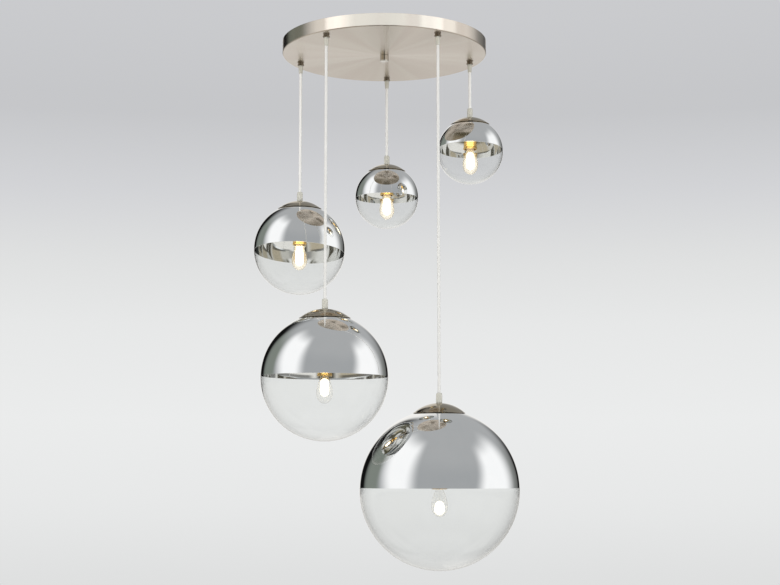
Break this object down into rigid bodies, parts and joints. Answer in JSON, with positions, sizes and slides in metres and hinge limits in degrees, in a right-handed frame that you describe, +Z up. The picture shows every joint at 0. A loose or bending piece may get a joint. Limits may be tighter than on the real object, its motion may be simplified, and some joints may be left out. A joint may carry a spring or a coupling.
{
  "type": "bubble chandelier",
  "caption": "Ceiling light with a round brushed-nickel canopy and cord-hung clear glass globes, mirrored on their upper halves, each round a small lamp.",
  "frame": {"origin": "centre of the ceiling face: the top of the ceiling bracket, level with the canopy's rim", "axes": "+Z up into the ceiling, -Y to the front of the fitting, +X to its right"},
  "size_m": [0.5036, 0.5346, 1.017],
  "materials": {
    "brushed_nickel": "brushed",
    "polished_nickel": "polished",
    "zinc_steel": "satin zinc plating",
    "holder_brass": "satin",
    "mirror_coat": "thin metal coat inside the glass",
    "clear_glass": "clear",
    "clear_plastic": "clear moulded",
    "cord_sheath": "translucent",
    "wire_sheath": "smooth",
    "terminal_plastic": "moulded",
    "lamp_glass": "clear, lit"
  },
  "bodies": {
    "canopy": {"canopy_pan": "brushed_nickel", "ceiling_bracket": "zinc_steel", "cap_nut": "polished_nickel", "terminal_block": "terminal_plastic", "wiring_loom": "wire_sheath", "gland_1": "polished_nickel", "gland_2": "polished_nickel", "gland_3": "polished_nickel", "gland_4": "polished_nickel", "gland_5": "polished_nickel"},
    "relief_1": {"bend_relief_1": "clear_plastic"},
    "hanging_cord_1": {"cord_1": "cord_sheath"},
    "pendant_1": {"cord_grip_1": "clear_plastic", "cap_1": "polished_nickel", "glass_clip_1": "zinc_steel", "stem_tube_1": "zinc_steel", "lampholder_1": "holder_brass", "globe_1": "clear_glass"},
    "lamp_base_1": {"lamp_cap_1": "polished_nickel"},
    "lamp_1": {"lamp_glass_1": "lamp_glass"},
    "relief_2": {"bend_relief_2": "clear_plastic"},
    "hanging_cord_2": {"cord_2": "cord_sheath"},
    "pendant_2": {"cord_grip_2": "clear_plastic", "cap_2": "polished_nickel", "glass_clip_2": "zinc_steel", "stem_tube_2": "zinc_steel", "lampholder_2": "holder_brass", "globe_2": "clear_glass"},
    "lamp_base_2": {"lamp_cap_2": "polished_nickel"},
    "lamp_2": {"lamp_glass_2": "lamp_glass"},
    "relief_3": {"bend_relief_3": "clear_plastic"},
    "hanging_cord_3": {"cord_3": "cord_sheath"},
    "pendant_3": {"cord_grip_3": "clear_plastic", "cap_3": "polished_nickel", "glass_clip_3": "zinc_steel", "stem_tube_3": "zinc_steel", "lampholder_3": "holder_brass", "globe_3": "clear_glass"},
    "lamp_base_3": {"lamp_cap_3": "polished_nickel"},
    "lamp_3": {"lamp_glass_3": "lamp_glass"},
    "relief_4": {"bend_relief_4": "clear_plastic"},
    "hanging_cord_4": {"cord_4": "cord_sheath"},
    "pendant_4": {"cord_grip_4": "clear_plastic", "cap_4": "polished_nickel", "glass_clip_4": "zinc_steel", "stem_tube_4": "zinc_steel", "lampholder_4": "holder_brass", "globe_4": "clear_glass"},
    "lamp_base_4": {"lamp_cap_4": "polished_nickel"},
    "lamp_4": {"lamp_glass_4": "lamp_glass"},
    "relief_5": {"bend_relief_5": "clear_plastic"},
    "hanging_cord_5": {"cord_5": "cord_sheath"},
    "pendant_5": {"cord_grip_5": "clear_plastic", "cap_5": "polished_nickel", "glass_clip_5": "zinc_steel", "stem_tube_5": "zinc_steel", "lampholder_5": "holder_brass", "globe_5": "clear_glass"},
    "lamp_base_5": {"lamp_cap_5": "polished_nickel"},
    "lamp_5": {"lamp_glass_5": "lamp_glass"}
  },
  "joints": [
    {"name": "swing_1", "type": "hinge", "parent": "canopy", "child": "relief_1", "pos_m": [-0.16779, 0.05942, -0.0275], "axis": [1, 0, 0], "range_deg": [-5, 5]},
    {"name": "sway_1", "type": "hinge", "parent": "relief_1", "child": "hanging_cord_1", "pos_m": [-0.16779, 0.05942, -0.0461], "axis": [0, 1, 0], "range_deg": [-5, 5]},
    {"name": "height_1", "type": "slide", "parent": "hanging_cord_1", "child": "pendant_1", "axis": [0, 0, 1], "range_m": [0, 0.14], "deforming": ["cord_1"]},
    {"name": "lamp_travel_1", "type": "slide", "parent": "pendant_1", "child": "lamp_base_1", "axis": [0, 0, 1], "range_m": [-0.00705, 0]},
    {"name": "lamp_turn_1", "type": "hinge", "parent": "lamp_base_1", "child": "lamp_1", "pos_m": [-0.16779, 0.05942, -0.39345], "axis": [0, 0, 1], "range_deg": [-901, 0]},
    {"name": "swing_2", "type": "hinge", "parent": "canopy", "child": "relief_2", "pos_m": [0.00466, 0.17794, -0.0275], "axis": [1, 0, 0], "range_deg": [-8, 8]},
    {"name": "sway_2", "type": "hinge", "parent": "relief_2", "child": "hanging_cord_2", "pos_m": [0.00466, 0.17794, -0.0461], "axis": [0, 1, 0], "range_deg": [-8, 8]},
    {"name": "height_2", "type": "slide", "parent": "hanging_cord_2", "child": "pendant_2", "axis": [0, 0, 1], "range_m": [0, 0.08], "deforming": ["cord_2"]},
    {"name": "lamp_travel_2", "type": "slide", "parent": "pendant_2", "child": "lamp_base_2", "axis": [0, 0, 1], "range_m": [-0.00705, 0]},
    {"name": "lamp_turn_2", "type": "hinge", "parent": "lamp_base_2", "child": "lamp_2", "pos_m": [0.00466, 0.17794, -0.27211], "axis": [0, 0, 1], "range_deg": [-901, 0]},
    {"name": "swing_3", "type": "hinge", "parent": "canopy", "child": "relief_3", "pos_m": [0.17067, 0.05056, -0.0275], "axis": [1, 0, 0], "range_deg": [-8, 8]},
    {"name": "sway_3", "type": "hinge", "parent": "relief_3", "child": "hanging_cord_3", "pos_m": [0.17067, 0.05056, -0.0461], "axis": [0, 1, 0], "range_deg": [-8, 8]},
    {"name": "height_3", "type": "slide", "parent": "hanging_cord_3", "child": "pendant_3", "axis": [0, 0, 1], "range_m": [0, 0.03], "deforming": ["cord_3"]},
    {"name": "lamp_travel_3", "type": "slide", "parent": "pendant_3", "child": "lamp_base_3", "axis": [0, 0, 1], "range_m": [-0.00705, 0]},
    {"name": "lamp_turn_3", "type": "hinge", "parent": "lamp_base_3", "child": "lamp_3", "pos_m": [0.17067, 0.05056, -0.20311], "axis": [0, 0, 1], "range_deg": [-901, 0]},
    {"name": "swing_4", "type": "hinge", "parent": "canopy", "child": "relief_4", "pos_m": [-0.10836, -0.14122, -0.0275], "axis": [1, 0, 0], "range_deg": [-3, 3]},
    {"name": "sway_4", "type": "hinge", "parent": "relief_4", "child": "hanging_cord_4", "pos_m": [-0.10836, -0.14122, -0.0461], "axis": [0, 1, 0], "range_deg": [-2, 3]},
    {"name": "height_4", "type": "slide", "parent": "hanging_cord_4", "child": "pendant_4", "axis": [0, 0, 1], "range_m": [0, 0.2], "deforming": ["cord_4"]},
    {"name": "lamp_travel_4", "type": "slide", "parent": "pendant_4", "child": "lamp_base_4", "axis": [0, 0, 1], "range_m": [-0.00705, 0]},
    {"name": "lamp_turn_4", "type": "hinge", "parent": "lamp_base_4", "child": "lamp_4", "pos_m": [-0.10836, -0.14122, -0.66618], "axis": [0, 0, 1], "range_deg": [-901, 0]},
    {"name": "swing_5", "type": "hinge", "parent": "canopy", "child": "relief_5", "pos_m": [0.10082, -0.14669, -0.0275], "axis": [1, 0, 0], "range_deg": [-2, 2]},
    {"name": "sway_5", "type": "hinge", "parent": "relief_5", "child": "hanging_cord_5", "pos_m": [0.10082, -0.14669, -0.0461], "axis": [0, 1, 0], "range_deg": [-3, 1.5]},
    {"name": "height_5", "type": "slide", "parent": "hanging_cord_5", "child": "pendant_5", "axis": [0, 0, 1], "range_m": [0, 0.03], "deforming": ["cord_5"]},
    {"name": "lamp_travel_5", "type": "slide", "parent": "pendant_5", "child": "lamp_base_5", "axis": [0, 0, 1], "range_m": [-0.00705, 0]},
    {"name": "lamp_turn_5", "type": "hinge", "parent": "lamp_base_5", "child": "lamp_5", "pos_m": [0.10082, -0.14669, -0.87126], "axis": [0, 0, 1], "range_deg": [-901, 0]}
  ],
  "couplings": [
    {"joint": "lamp_turn_1", "follows": "lamp_travel_1", "rad_per_m": 2228.1},
    {"joint": "lamp_turn_2", "follows": "lamp_travel_2", "rad_per_m": 2228.1},
    {"joint": "lamp_turn_3", "follows": "lamp_travel_3", "rad_per_m": 2228.1},
    {"joint": "lamp_turn_4", "follows": "lamp_travel_4", "rad_per_m": 2228.1},
    {"joint": "lamp_turn_5", "follows": "lamp_travel_5", "rad_per_m": 2228.1}
  ]
}
